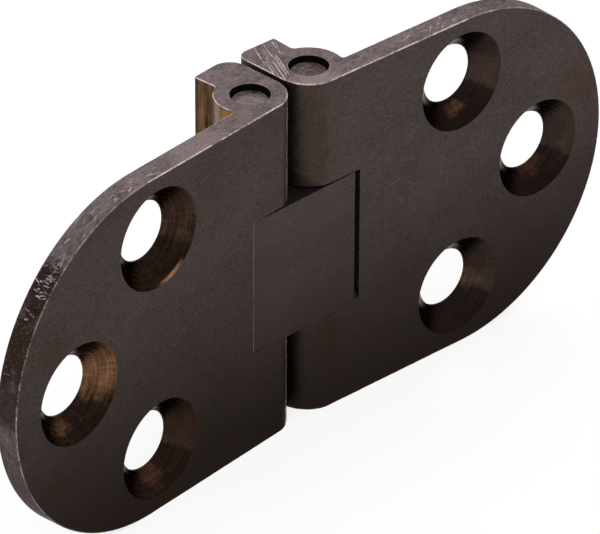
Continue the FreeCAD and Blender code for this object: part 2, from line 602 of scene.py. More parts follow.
class Effects:
    """Shader node groups that several finishes share. Each one is built once.

    A group's fill method takes the group's graph and the sockets of its inputs by their
    names, adds the nodes, and gives the socket of the result.
    """

    def __init__(self) -> None:
        """Builds every group."""
        self.mottle = self._build("mottle", self._mottle, ["Vector"], ["Scale"])
        self.grain = self._build("grain", self._grain, ["Vector", "Stretch"], ["Scale"])
        self.scratches = self._build(
            "scratches", self._scratches, ["Vector", "Across"], ["Spacing", "Width", "Amount"],
        )
        self.specks = self._build("specks", self._specks, ["Vector"], ["Scale", "Amount"])
        self.wear = self._build("edge_wear", self._wear, ["Vector"], ["Edge", "Amount"])
        self.patch = self._build("patch", self._patch, ["Vector", "Centre", "Squeeze"], ["Radius"])
        self.turning = self._build("turning", self._turning, ["Turned"])
        self.shade_sector = self._build("shade_sector", self._sector, ["Turned"])

    @staticmethod
    def _build(
        name: str, fill: Callable[[Graph, Inputs], NodeSocket],
        vectors: Sequence[str], numbers: Sequence[str] = (),
    ) -> NodeTree:
        """Makes one group with named inputs and one output.

        Args:
            name: The group's name.
            fill: A function that adds the nodes and gives the result's socket.
            vectors: The names of the inputs that are vectors.
            numbers: The names of the inputs that are numbers.

        Returns:
            The node group.
        """
        tree = bpy.data.node_groups.new(name, "ShaderNodeTree")
        for labels, kind in ((vectors, "NodeSocketVector"), (numbers, "NodeSocketFloat")):
            for label in labels:
                tree.interface.new_socket(name=label, in_out="INPUT", socket_type=kind)
        tree.interface.new_socket(name="Value", in_out="OUTPUT", socket_type="NodeSocketFloat")
        graph = Graph(tree)
        entry = tree.nodes.new("NodeGroupInput")
        result = fill(graph, {label: entry.outputs[label] for label in (*vectors, *numbers)})
        graph.node("NodeGroupOutput", {"Value": result})
        return tree

    @staticmethod
    def _mottle(graph: Graph, given: Inputs) -> NodeSocket:
        """Makes soft blotches of two sizes.

        Args:
            graph: The group's graph.
            given: The inputs' sockets.

        Returns:
            The mask.
        """
        broad = graph.noise(given["Vector"], given["Scale"], 3.0, 0.6)
        fine_scale = graph.math("MULTIPLY", given["Scale"], 5.3)
        fine = graph.noise(given["Vector"], fine_scale, 2.0, 0.6)
        both = graph.math("ADD", graph.math("MULTIPLY", broad, 0.72), graph.math("MULTIPLY", fine, 0.28))
        return graph.ramp(both, 0.32, 0.68)

    @staticmethod
    def _grain(graph: Graph, given: Inputs) -> NodeSocket:
        """Fine brushed lines, drawn out by the stretch."""
        drawn = graph.vector("MULTIPLY", given["Vector"], given["Stretch"])
        return graph.ramp(graph.noise(drawn, given["Scale"], 2.0, 0.7), 0.25, 0.75)

    @staticmethod
    def _scratches(graph: Graph, given: Inputs) -> NodeSocket:
        """Makes single thin lines, slightly bent, each in a lane of its own, that come and go.

        Args:
            graph: The group's graph.
            given: The inputs' sockets.

        Returns:
            The mask.
        """
        bend = graph.math("MULTIPLY", graph.noise(given["Vector"], 0.08, 1.0), 7.0)
        across = graph.reach("DOT_PRODUCT", given["Vector"], given["Across"])
        lanes = graph.math("DIVIDE", graph.math("ADD", across, bend), given["Spacing"])
        lane = graph.math("FLOOR", lanes)
        chance = graph.node("ShaderNodeTexWhiteNoise", {"W": lane}, noise_dimensions="1D").outputs["Value"]
        place = graph.math("MULTIPLY_ADD", chance, 0.6, 0.2)
        away = graph.math("ABSOLUTE", graph.math("SUBTRACT", graph.math("FRACT", lanes), place))
        away = graph.math("MULTIPLY", away, given["Spacing"])
        line = graph.math("SUBTRACT", 1.0, graph.ramp(away, 0.0, given["Width"]))
        shift = graph.math("MULTIPLY", chance, 90.0)
        moved = graph.vector("ADD", given["Vector"], graph.joined(shift))
        stretches = graph.noise(moved, 0.3, 2.0)
        high = graph.math("SUBTRACT", 1.0, given["Amount"])
        low = graph.math("SUBTRACT", high, 0.06)
        return graph.math("MULTIPLY", line, graph.ramp(stretches, low, high))

    @staticmethod
    def _specks(graph: Graph, given: Inputs) -> NodeSocket:
        """Makes small bright grains.

        Args:
            graph: The group's graph.
            given: The inputs' sockets.

        Returns:
            The mask.
        """
        grains = graph.noise(given["Vector"], given["Scale"], 1.0, 0.5)
        high = graph.math("SUBTRACT", 0.86, graph.math("MULTIPLY", given["Amount"], 0.3))
        low = graph.math("SUBTRACT", high, 0.1)
        return graph.ramp(grains, low, high)

    @staticmethod
    def _wear(graph: Graph, given: Inputs) -> NodeSocket:
        """Makes wear along broken edges, and the painted highlights marked with it, uneven along their length.

        Args:
            graph: The group's graph.
            given: The inputs' sockets.

        Returns:
            The mask.
        """
        uneven = graph.noise(given["Vector"], 0.9, 4.0, 0.7)
        high = graph.math("SUBTRACT", 1.02, given["Amount"])
        low = graph.math("SUBTRACT", high, 0.3)
        return graph.math("MULTIPLY", given["Edge"], graph.ramp(uneven, low, high))

    @staticmethod
    def _patch(graph: Graph, given: Inputs) -> NodeSocket:
        """Makes a soft stain about a point. A squeeze under 1 draws it out.

        Args:
            graph: The group's graph.
            given: The inputs' sockets.

        Returns:
            The mask, with an uneven border.
        """
        spoke = graph.vector("SUBTRACT", given["Vector"], given["Centre"])
        away = graph.reach("LENGTH", graph.vector("MULTIPLY", spoke, given["Squeeze"]))
        uneven = graph.math("MULTIPLY_ADD", graph.noise(given["Vector"], 0.9, 3.0, 0.65), 1.6, -0.8)
        share = graph.math("ADD", graph.math("DIVIDE", away, given["Radius"]), uneven)
        return graph.math("SUBTRACT", 1.0, graph.ramp(share, 0.45, 1.15))

    @staticmethod
    def _turning(graph: Graph, given: Inputs) -> NodeSocket:
        """Makes the cutting marks round a hole: rings, and chatter across them in patches.

        Args:
            graph: The group's graph.
            given: The inputs' sockets.

        Returns:
            The mask.
        """
        aside, _, above = graph.parts(given["Turned"])
        squares = [graph.math("MULTIPLY", part, part) for part in (aside, above)]
        radius = graph.math("SQRT", graph.math("ADD", *squares))
        angle = graph.math("ARCTAN2", above, aside)
        along = graph.joined(graph.math("MULTIPLY", radius, 6.0), graph.math("MULTIPLY", angle, 0.9))
        rings = graph.ramp(graph.noise(along, 1.0, 3.0, 0.7), 0.42, 0.68)
        across = graph.joined(graph.math("MULTIPLY", angle, 13.0), radius)
        chatter = graph.noise(across, 1.0, 2.0, 0.6)
        patches = graph.ramp(graph.noise(given["Turned"], 0.42, 2.0), 0.48, 0.62)
        marks = graph.math("MULTIPLY", graph.ramp(chatter, 0.44, 0.60), patches)
        return graph.math("MULTIPLY_ADD", rings, 0.6, graph.math("MULTIPLY", marks, 0.4))

    @staticmethod
    def _sector(graph: Graph, given: Inputs) -> NodeSocket:
        """Picks out the lower part of a sunk hole, which is painted darker as shade.

        Args:
            graph: The group's graph.
            given: The inputs' sockets.

        Returns:
            The mask, with a narrow border.
        """
        flat = graph.vector("NORMALIZE", graph.vector("MULTIPLY", given["Turned"], (1, 0, 1)))
        middle = math.radians(-105)
        lean = graph.reach("DOT_PRODUCT", flat, (math.cos(middle), 0, math.sin(middle)))
        uneven = graph.math("MULTIPLY_ADD", graph.noise(given["Turned"], 0.8, 2.0), 0.24, -0.12)
        return graph.ramp(graph.math("ADD", lean, uneven), 0.18, 0.32)


@dataclass(frozen=True)
class Stain:
    """A soft stain on a finish, in millimetres."""

    centre: Place
    radius: float
    colour: Colour
    share: float = 0.8
    squeeze: Place = (1.0, 1.0, 1.0)


@dataclass(frozen=True)
class Finish:
    """A burnished finish over brass, more or less worn through, with painted shade where a low colour or a sink
    shade is given.
    """

    name: str
    dark: Colour
    light: Colour
    worn: Colour
    roughness: float
    # painted shade: a darker colour blended in towards the bottom of a piece, for the darker light low down
    low: Colour | None = None
    # painted shade: a dark colour laid over the lower part of a sunk hole, where it looks shaded
    sink_shade: Colour | None = None
    metallic: float = 1.0
    specular: float = 0.5
    glancing: Colour = (0.52, 0.50, 0.48)
    mottle_scale: float = 0.12
    stretch: Place = (0.35, 1.0, 1.0)
    grain_scale: float = 5.0
    grain_share: float = 0.3
    grain_depth: float = 0.010
    grain_roughness: float = 0.16
    speck_scale: float = 6.5
    specks: float = 0.3
    speck_share: float = 0.4
    scratches: float = 0.36
    scratch_share: float = 0.5
    scratch_spacing: float = 3.1
    scratch_width: float = 0.045
    scratch_depth: float = 1.5
    wear: float = 0.7
    wear_polish: float = 0.12
    # how far the painted shade darkens the lower part of a sunk hole, and how much of the bared grain it hides
    sink_shade_share: float = 0.9
    sink_shade_cover: float = 0.6
    painted_shade_levels: tuple[float, float] = (-17.0, 8.0)
    turned: bool = False
    stains: tuple[Stain, ...] = ()

    def material(self, effects: Effects) -> Material:
        """Builds the material.

        Args:
            effects: The shared node groups.

        Returns:
            The material, on the object's coordinates in millimetres.
        """
        made = bpy.data.materials.new(self.name)
        graph = emptied(made)
        coords = graph.node("ShaderNodeTexCoord").outputs["Object"]
        place = graph.vector("MULTIPLY", coords, (1 / MM, 1 / MM, 1 / MM))
        grain = self._grain(graph, effects, place)
        marks = self._marks(graph, effects, place)
        wear = graph.group(effects.wear, {
            "Edge": graph.attribute("edge", "Fac"), "Vector": place, "Amount": self.wear,
        })
        smoothest = self.roughness - self.grain_roughness / 2
        lines = graph.math("MULTIPLY_ADD", grain, self.grain_roughness, smoothest)
        height = graph.math("SUBTRACT", grain, graph.math("MULTIPLY", marks, self.scratch_depth))
        bump = graph.node(
            "ShaderNodeBump", {"Strength": 1.0, "Distance": self.grain_depth * MM, "Height": height},
        )
        shader = graph.node("ShaderNodeBsdfPrincipled", {
            "Base Color": self._colour(graph, effects, place, grain, marks, wear),
            "Roughness": graph.math("MULTIPLY_ADD", wear, -self.wear_polish, lines),
            "Metallic": self.metallic, "Normal": bump.outputs[0],
            "Specular IOR Level": self.specular, "Specular Tint": (*self.glancing, 1.0),
        })
        graph.node("ShaderNodeOutputMaterial", {"Surface": shader.outputs[0]})
        return made

    def _grain(self, graph: Graph, effects: Effects, place: NodeSocket) -> NodeSocket:
        """Makes the tool marks: brushed lines, or turned ones in a sunk hole.

        Args:
            graph: The material's graph.
            effects: The shared node groups.
            place: The surface's place in millimetres.

        Returns:
            The mask of the tool marks.
        """
        if self.turned:
            return graph.group(effects.turning, {"Turned": graph.attribute("turned", "Vector")})
        return graph.group(effects.grain, {
            "Vector": place, "Stretch": self.stretch, "Scale": self.grain_scale,
        })

    def _marks(self, graph: Graph, effects: Effects, place: NodeSocket) -> NodeSocket:
        """Makes scratches in several directions.

        Args:
            graph: The material's graph.
            effects: The shared node groups.
            place: The surface's place in millimetres.

        Returns:
            The mask of the scratches.
        """
        total = 0.0
        for across in SCRATCH_ASIDE:
            lines = graph.group(effects.scratches, {
                "Vector": place, "Across": across, "Spacing": self.scratch_spacing,
                "Width": self.scratch_width, "Amount": self.scratches,
            })
            total = graph.math("MAXIMUM", total, lines)
        return total

    def _colour(
        self, graph: Graph, effects: Effects, place: NodeSocket, grain: NodeSocket,
        marks: NodeSocket, wear: NodeSocket,
    ) -> NodeSocket:
        """Lays the colours over each other.

        Args:
            graph: The material's graph.
            effects: The shared node groups.
            place: The surface's place in millimetres.
            grain: The mask of the tool marks.
            marks: The mask of the scratches.
            wear: The mask of the worn edges and of the painted highlights.

        Returns:
            The base colour.
        """
        drawn = graph.vector("MULTIPLY", place, self.stretch)
        mottle = graph.group(effects.mottle, {"Vector": drawn, "Scale": self.mottle_scale})
        colour = graph.blend(mottle, self.dark, self.light)
        bared = graph.math("MULTIPLY", grain, self.grain_share)
        # Painted shade over the lower part of a sunk hole
        if self.sink_shade is not None:
            shade_sector = graph.group(effects.shade_sector, {"Turned": graph.attribute("turned", "Vector")})
            shaded = graph.math("MULTIPLY", shade_sector, self.sink_shade_share)
            colour = graph.blend(shaded, colour, self.sink_shade)
            bare = graph.math("MULTIPLY_ADD", shade_sector, -self.sink_shade_cover, 1.0)
            bared = graph.math("MULTIPLY", bared, bare)
        colour = graph.blend(bared, colour, self.worn)
        for stain in self.stains:
            mask = graph.group(effects.patch, {
                "Vector": place, "Centre": stain.centre, "Squeeze": stain.squeeze,
                "Radius": stain.radius,
            })
            if self.turned:
                mask = graph.math("MULTIPLY", mask, graph.math("MULTIPLY_ADD", grain, 0.7, 0.3))
            colour = graph.blend(graph.math("MULTIPLY", mask, stain.share), colour, stain.colour)
        specks = graph.group(effects.specks, {
            "Vector": place, "Scale": self.speck_scale, "Amount": self.specks,
        })
        for mask, share in ((specks, self.speck_share), (marks, self.scratch_share)):
            colour = graph.blend(graph.math("MULTIPLY", mask, share), colour, self.worn)
        # Painted shade: the colour darkens towards the bottom, where the light falls off
        if self.low is not None:
            raised = graph.ramp(graph.parts(place)[2], *self.painted_shade_levels)
            colour = graph.blend(graph.math("SUBTRACT", 1.0, raised), colour, self.low)
        # Worn edges and painted highlights alike take the worn colour
        return graph.blend(wear, colour, self.worn)


TORN_BROWN = (0.026, 0.015, 0.011)
WORN_BROWN = (0.070, 0.036, 0.024)
# painted shade for the lower part of the sunk holes
SINK_SHADE = (0.0085, 0.0055, 0.0045)


@dataclass(frozen=True)
class Finishes:
    """Every finish of the hinge."""

    face: Finish = Finish(
        "burnished_face", (0.038, 0.0288, 0.0260), (0.053, 0.0413, 0.0380), (0.26, 0.21, 0.19), 0.5,
        # low: painted shade towards the bottom of the face
        low=(0.0182, 0.0130, 0.0105), mottle_scale=0.2, stretch=(0.6, 1.0, 1.0), grain_scale=7.0,
        grain_share=0.21, grain_depth=0.006, specks=0.55, speck_share=0.10, scratch_share=0.22,
        stains=(
            Stain((-28.5, -2.5, 5.0), 1.6, WORN_BROWN, 0.5), Stain((-28.3, -2.5, -7.6), 1.4, WORN_BROWN, 0.5),
            Stain((29.6, -1.2, 4.5), 2.4, WORN_BROWN, 0.4),
            Stain((1.5, 0.8, 10.0), 1.5, (0.050, 0.033, 0.024), 0.8, (1.0, 1.0, 0.16)),
            Stain((2.6, 0.2, -9.0), 1.5, (0.056, 0.029, 0.018), 0.6, (1.0, 1.0, 0.3)),
        ),
    )
    rim: Finish = Finish(
        "cut_rim", (0.052, 0.038, 0.038), (0.112, 0.085, 0.085), (0.62, 0.52, 0.52), 0.42,
        # low: painted shade towards the bottom of the rim
        low=(0.042, 0.027, 0.024), mottle_scale=0.7, stretch=(0.7, 1.0, 0.7), grain_scale=3.0,
        grain_share=0.18, grain_depth=0.035, specks=0.5, speck_share=0.10, scratches=0.34,
        scratch_share=0.30, wear=0.40,
        stains=(
            Stain((-28.9, -1.3, 10.3), 3.0, TORN_BROWN, 0.97), Stain((-31.4, -1.6, 6.4), 3.8, TORN_BROWN, 0.97),
            Stain((-32.3, -1.6, 2.0), 2.8, TORN_BROWN, 0.85),
            Stain((2.2, 0.6, 15.0), 2.4, (0.24, 0.185, 0.190), 0.6),
            Stain((-11.5, -0.4, 15.0), 3.2, (0.20, 0.155, 0.150), 0.5),
        ),
    )
    warm_sink: Finish = Finish(
        "warm_turned_sink", (0.014, 0.0088, 0.0072), (0.030, 0.0170, 0.0130), (0.42, 0.205, 0.095), 0.33,
        # painted shade in the lower part of each sunk hole
        sink_shade=SINK_SHADE, mottle_scale=0.30, grain_share=0.12, grain_depth=0.008, specks=0.2,
        speck_share=0.1, scratches=0.3, scratch_share=0.2, wear=0.45, turned=True,
        stains=(
            Stain((-22.7, -0.4, 0.8), 2.8, (0.24, 0.115, 0.055), 0.95),
            Stain((-13.4, 0.0, -9.5), 3.6, (0.010, 0.0062, 0.0048), 0.7),
            Stain((-16.6, 0.0, -11.8), 1.3, (0.120, 0.058, 0.032), 0.45, (1.0, 1.0, 0.6)),
            Stain((-27.2, -0.5, -2.8), 1.6, (0.17, 0.086, 0.045), 0.7),
        ),
    )
    dark_sink: Finish = Finish(
        "dark_turned_sink", (0.019, 0.0122, 0.0104), (0.036, 0.0245, 0.0215), (0.24, 0.120, 0.075), 0.33,
        # painted shade in the lower part of each sunk hole
        sink_shade=SINK_SHADE, mottle_scale=0.30, grain_share=0.09, grain_depth=0.008, specks=0.2,
        speck_share=0.1, scratches=0.3, scratch_share=0.2, turned=True,
        stains=(
            Stain((17.4, 1.0, 6.2), 1.0, (0.17, 0.075, 0.042), 0.6, (0.7, 1.0, 1.3)),
            Stain((26.2, 1.0, -2.6), 1.3, (0.085, 0.040, 0.028), 0.6, (0.7, 1.0, 1.2)),
            Stain((19.6, 1.0, -10.4), 1.2, (0.11, 0.052, 0.034), 0.6, (1.0, 1.0, 1.3)),
        ),
    )
    step: Finish = Finish(
        "bare_step", (0.010, 0.0055, 0.003), (0.200, 0.098, 0.036), (0.48, 0.41, 0.35), 0.42,
        mottle_scale=0.9, stretch=(1.0, 1.0, 0.12), grain_scale=2.6, grain_share=0.07, specks=0.3,
        speck_share=0.15, wear=0.9,
        stains=(
            Stain((-4.0, 7.7, 8.0), 0.45, TORN_BROWN, 0.85, (1.0, 1.0, 0.05)),
            Stain((-4.0, 6.0, 8.0), 0.35, TORN_BROWN, 0.85, (1.0, 1.0, 0.05)),
            Stain((-6.0, 2.4, 14.3), 0.8, (0.30, 0.165, 0.045), 0.7),
        ),
    )
    seat: Finish = Finish(
        "dull_notch_floor", (0.095, 0.078, 0.071), (0.135, 0.111, 0.101), (0.17, 0.14, 0.13), 0.8,
        metallic=0.0, specular=0.1, mottle_scale=0.4, grain_share=0.1, grain_depth=0.002, specks=0.2,
        speck_share=0.1, scratches=0.2, wear=0.0,
    )
    shade: Finish = Finish(
        "dark_notch", (0.004, 0.003, 0.0025), (0.008, 0.006, 0.005), (0.012, 0.009, 0.007), 0.9,
        metallic=0.0, specular=0.05, scratches=0.2, wear=0.0,
    )
    link: Finish = Finish(
        "burnished_link", (0.042, 0.0318, 0.0290), (0.057, 0.0443, 0.0408), (0.26, 0.21, 0.19), 0.52,
        # low: painted shade towards the bottom of the link
        low=(0.0172, 0.0122, 0.0098), mottle_scale=0.2, stretch=(0.6, 1.0, 1.0), grain_scale=7.0,
        grain_share=0.21, grain_depth=0.006, specks=0.55, speck_share=0.10, scratch_share=0.25, wear=0.2,
    )
    link_end: Finish = Finish(
        "bare_link_end", (0.05, 0.028, 0.016), (0.23, 0.125, 0.062), (0.42, 0.28, 0.16), 0.45,
        stretch=(1.0, 1.0, 0.15), mottle_scale=0.5, grain_share=0.1, wear=0.0,
    )
    pin: Finish = Finish(
        "pin_end", (0.050, 0.038, 0.039), (0.185, 0.145, 0.148), (0.42, 0.36, 0.36), 0.5,
        mottle_scale=0.8, stretch=(1.0, 1.0, 1.0), grain_scale=2.4, grain_share=0.16, grain_depth=0.04,
        specks=0.6, speck_share=0.25,
        stains=(
            Stain((4.3, 2.3, 14.5), 0.9, (0.120, 0.050, 0.050), 0.7),
            Stain((-3.1, 2.4, 14.5), 1.7, (0.230, 0.182, 0.186), 0.6),
        ),
    )


# The pieces

@dataclass
class Leaf:
    """One leaf: plate, barrel and stop dog, notched for the link and drilled for three screws.

    It is made lying flat, as a right-hand leaf, and then folded and set on its side. The painted
    highlights on the left barrel, bright strips, are given by the slope of its surface: the front
    one from slope to slope, the back one by its middle and half its width. The painted glint, a
    bright arc in the upper left countersink, is given by its middle and half its length in degrees,
    and its inner radius.
    """

    side: Side
    reach: float
    fold: float
    dog_inner_radius: float
    sizes: Sizes
    seed: int
    sink_rings: int = 9
    sink_ring_depth: float = 0.012
    sink_steps: int = 144
    chatter_waves: int = 36
    chatter_depth: float = 0.014
    round_strokes: int = 64
    straight_strokes: int = 40
    corner_nicks: int = 30
    torn_ridges: int = 60
    groove_count: int = 34
    groove_spacing: float = 0.06
    rim_band: float = 0.12
    bore_wear: float = 0.7
    # wear along the outline, brightened as a painted highlight of its edges, and less of it at the tip
    outline_wear_and_highlight: float = 1.0
    tip_wear_and_highlight: float = 0.3
    worn_reach: float = 13.0
    # painted highlight: how bright the left barrel's strips and the glint arc are painted
    painted_highlight: float = 0.9
    front_highlight_slopes: tuple[float, float] = (-0.90, -0.74)
    back_highlight: float = 0.45
    back_highlight_slope: tuple[float, float] = (0.36, 0.24)
    # painted glint: a bright arc in the upper left countersink
    glint_middle: float = -110.0
    glint_reach: float = 24.0
    glint_radius: float = 4.06

    @property
    def name(self) -> str:
        """The leaf's name, after its side."""
        return self.side.name.lower() + "_leaf"

    @property
    def round_centre(self) -> float:
        """How far the round end's centre is from the mid-plane."""
        return self.reach - self.sizes.half_width

    @property
    def screw_places(self) -> list[Vector]:
        """The mouth of each screw hole, on the front face."""
        size = self.sizes
        half = size.near_hole_spacing / 2
        return [
            Vector((size.near_hole_distance, 0, half)),
            Vector((self.reach - size.tip_hole_inset, 0, 0)),
            Vector((size.near_hole_distance, 0, -half)),
        ]

    def section(self) -> BMesh:
        """Draws the leaf's section and raises it along the pin.

        Returns:
            The plate with its barrel and dog, longer and wider than the leaf.
        """
        size = self.sizes
        pin, inner_radius = size.pin_centre, self.dog_inner_radius
        dog_x = size.half_spacing + size.dog_overhang
        inner = Vector((size.stop_gap / 2 + inner_radius, size.dog_depth - inner_radius, 0))
        outer = Vector((dog_x - size.dog_outer_radius, size.dog_depth - size.dog_outer_radius, 0))
        root_reach = size.barrel_radius + size.dog_root_radius
        root_x = dog_x + size.dog_root_radius
        root = Vector((root_x, size.pin_depth + half_chord(root_reach, root_x - size.half_spacing), 0))
        seat_y = size.plate_thickness + size.barrel_root_radius
        seat_chord = half_chord(size.barrel_radius + size.barrel_root_radius, seat_y - size.pin_depth)
        seat = Vector((size.half_spacing + seat_chord, seat_y, 0))
        front = Vector((size.half_spacing - half_chord(size.barrel_radius, size.pin_depth), 0, 0))
        stop_start, stop_end = shared_tangent(pin, size.barrel_radius, inner, inner_radius)
        steps = [
            (stop_start, pin),
            (stop_end, None),
            (Vector((inner.x, size.dog_depth, 0)), inner),
            (Vector((outer.x, size.dog_depth, 0)), None),
            (Vector((dog_x, outer.y, 0)), outer),
            (Vector((dog_x, root.y, 0)), None),
            (on_circle(pin, size.barrel_radius, root), root),
            (on_circle(pin, size.barrel_radius, seat), pin),
            (Vector((seat.x, size.plate_thickness, 0)), seat),
            (Vector((self.reach + size.margin, size.plate_thickness, 0)), None),
            (Vector((self.reach + size.margin, 0, 0)), None),
        ]
        mesh = Outline(front).follow(steps).raised(size.blank_height)
        drop = Vector((0, 0, -size.half_width - size.margin))
        bmesh.ops.translate(mesh, vec=drop, verts=mesh.verts[:])
        return mesh

    def round_end_blank(self) -> BMesh:
        """Draws the leaf's outline from the front and raises it through its whole depth.

        Returns:
            The blank that the section is trimmed to.
        """
        size = self.sizes
        near, far, half = -size.margin, self.round_centre, size.half_width
        front = -size.margin
        centre = Vector((far, front, 0))
        steps = [
            (Vector((far, front, -half)), None),
            (Vector((self.reach, front, 0)), centre),
            (Vector((far, front, half)), centre),
            (Vector((near, front, half)), None),
        ]
        depth = size.dog_depth + 2 * size.margin
        return Outline(Vector((near, front, -half)), BACK).follow(steps).raised(depth)

    def notch(self) -> list[BMesh]:
        """Makes the cutters of the notch.

        Returns:
            The slot that takes away the dog, and the round pocket about the pin.
        """
        size = self.sizes
        bottom = Vector((0, 0, size.link_offset - size.notch_height / 2))
        foot = size.pin_centre + bottom
        pocket = post(foot, size.notch_radius, size.notch_height, NOTCH_STEPS)
        inner, outer = -size.margin, size.half_spacing + size.dog_overhang + size.dog_root_radius
        back = size.dog_depth + size.margin
        corners = [
            (size.half_spacing, -size.margin), (size.half_spacing, size.pin_depth),
            (outer, size.pin_depth), (outer, back), (inner, back),
        ]
        slot = Outline(Vector((inner, -size.margin, bottom.z)))
        slot.follow((Vector((x, y, bottom.z)), None) for x, y in corners)
        return [slot.raised(size.notch_height), pocket]

    def screw_cutter(self, mouth: Vector) -> BMesh:
        """Spins a countersunk hole's cutter, with the drill's rings and chatter.

        Args:
            mouth: The hole's middle on the front face.

        Returns:
            The cutter.
        """
        size = self.sizes
        lead = size.sink_radius + size.margin
        through = size.plate_thickness + size.margin
        cone = []
        for step in range(self.sink_rings + 1):
            share = step / self.sink_rings
            radius = size.sink_radius + (size.hole_radius - size.sink_radius) * share
            proud = self.sink_ring_depth * (step % 2) if 0 < step < self.sink_rings else 0.0
            cone.append((radius + proud, size.sink_depth * share))
        ends = [(size.hole_radius, through), (0, through)]
        profile = [(0, -size.margin), (lead, -size.margin), *cone, *ends]
        points = [mouth + Vector((radius, depth, 0)) for radius, depth in profile]
        cutter = turned(points, mouth, BACK, self.sink_steps)
        for vert in cutter.verts:
            self._chatter(vert, mouth)
        return cutter

    def _chatter(self, vert: BMVert, mouth: Vector) -> None:
        """Moves a point of the sunk cone in or out, as a drill that shakes leaves it.

        Args:
            vert: The cutter's point.
            mouth: The hole's middle on the front face.
        """
        spoke = vert.co - mouth
        inside = JOIN_DISTANCE < spoke.y < self.sizes.sink_depth - JOIN_DISTANCE
        if not inside or spoke.xz.length < self.sizes.hole_radius:
            return
        angle = math.atan2(spoke.z, spoke.x)
        patch = max(0.0, noise.noise(vert.co * 0.45 + Vector((self.seed, 0, 0))))
        wave = self.chatter_depth * patch * math.sin(angle * self.chatter_waves)
        vert.co += Vector((spoke.x, 0, spoke.z)).normalized() * wave

    def at_bore(self, edge: BMEdge) -> bool:
        """Tells whether an edge is a pin bore's mouth in a knuckle's end.

        Args:
            edge: The edge, on the flat leaf.

        Returns:
            Whether it is.
        """
        size = self.sizes
        middle = middle_of(edge)
        near = (middle - size.pin_centre).xy.length < size.pin_radius + size.outer_break
        return near and abs(middle.z) > size.half_width - size.outer_break

    def in_outline_band(self, middle: Vector, width: float) -> bool:
        """Tells whether a place is at the leaf's outline, seen from the front.

        Args:
            middle: The place, on the flat leaf.
            width: The width of the band along the outline.

        Returns:
            Whether it is.
        """
        inner = self.sizes.half_width - width
        from_round = math.hypot(middle.x - self.round_centre, middle.z)
        return abs(middle.z) > inner or (from_round > inner and middle.x > self.round_centre)

    def on_outside(self, edge: BMEdge) -> bool:
        """Whether an edge is on the leaf's outline, where hands and tools wear it."""
        at_outline = self.in_outline_band(middle_of(edge), self.sizes.outer_break)
        return at_outline and not self.at_bore(edge)

    def is_inside(self, edge: BMEdge) -> bool:
        """Whether an edge is on none of the worn outlines."""
        return not self.on_outside(edge) and not self.at_bore(edge)

    def rim_spot(self, turn: float, depth: float) -> tuple[Vector, Vector, Vector]:
        """A place on the round end's rim.

        Args:
            turn: The angle from the top, in degrees.
            depth: How far it lies behind the front face.

        Returns:
            The place, the direction along the rim and the direction outwards.
        """
        angle = math.radians(turn)
        outward = Vector((math.sin(angle), 0, math.cos(angle)))
        place = Vector((self.round_centre, depth, 0)) + outward * self.sizes.half_width
        return place, BACK.cross(outward), outward

    def marks(self) -> list[Gouge]:
        """Makes every gouge and nick in the leaf's rim and knuckle ends.

        Returns:
            The marks, for the flat leaf.
        """
        dice = random.Random(self.seed)
        own_marks = self._torn_rim if self.side is Side.LEFT else self._saw_grooves
        return self._strokes(dice) + own_marks(dice)

    def _strokes(self, dice: random.Random) -> list[Gouge]:
        """Makes short strokes and nicks all along the upper rim.

        Args:
            dice: The source of chance.

        Returns:
            The marks: on the round, then on the straight, then along the front corner.
        """
        thickness, half = self.sizes.plate_thickness, self.sizes.half_width
        made = []
        for _ in range(self.round_strokes):
            turn, depth = dice.uniform(2, 44), thickness * dice.triangular(0.1, 0.8, 0.3)
            place, along, outward = self.rim_spot(turn, depth)
            along = along + BACK * dice.uniform(-0.5, 0.5)
            width, wear = dice.uniform(0.05, 0.11), dice.choice(STROKE_WEAR)
            made.append(Gouge(place, along, outward, dice.uniform(0.3, 1.5), width, 0.02, wear))
        for _ in range(self.straight_strokes):
            reach, depth = dice.uniform(5, self.round_centre), thickness * dice.triangular(0.1, 0.9, 0.3)
            along = RIGHTWARDS + BACK * dice.uniform(-0.9, 0.9)
            width, wear = dice.uniform(0.05, 0.10), dice.choice(STROKE_WEAR)
            place = Vector((reach, depth, half))
            made.append(Gouge(place, along, UP, dice.uniform(0.3, 1.4), width, 0.018, wear))
        for _ in range(self.corner_nicks):
            place, along, outward = self.rim_spot(dice.uniform(0, 110), 0)
            corner, cut = (outward - BACK).normalized(), dice.uniform(0.04, 0.09)
            made.append(Gouge(place, along, corner, dice.uniform(0.2, 0.8), 0.2, cut, dice.uniform(0, 1)))
        return made

    def _torn_rim(self, dice: random.Random) -> list[Gouge]:
        """Makes the ridges across the left rim where the cutter tore the metal.

        Args:
            dice: The source of chance.

        Returns:
            The marks.
        """
        made = []
        for step in range(self.torn_ridges):
            depth = dice.uniform(0.3, self.sizes.plate_thickness - 0.25)
            place, along, outward = self.rim_spot(dice.uniform(40, 57), depth)
            across = BACK + along * dice.uniform(-0.5, 0.5)
            width, cut = dice.uniform(0.10, 0.26), dice.uniform(0.03, 0.08)
            # Every other ridge is painted bright, a painted highlight where the ridges catch the light
            wear = dice.uniform(0.4, 0.9) if step % 2 == 0 else 0.0
            made.append(Gouge(place, across, outward, dice.uniform(0.3, 1.1), width, cut, wear))
        return made

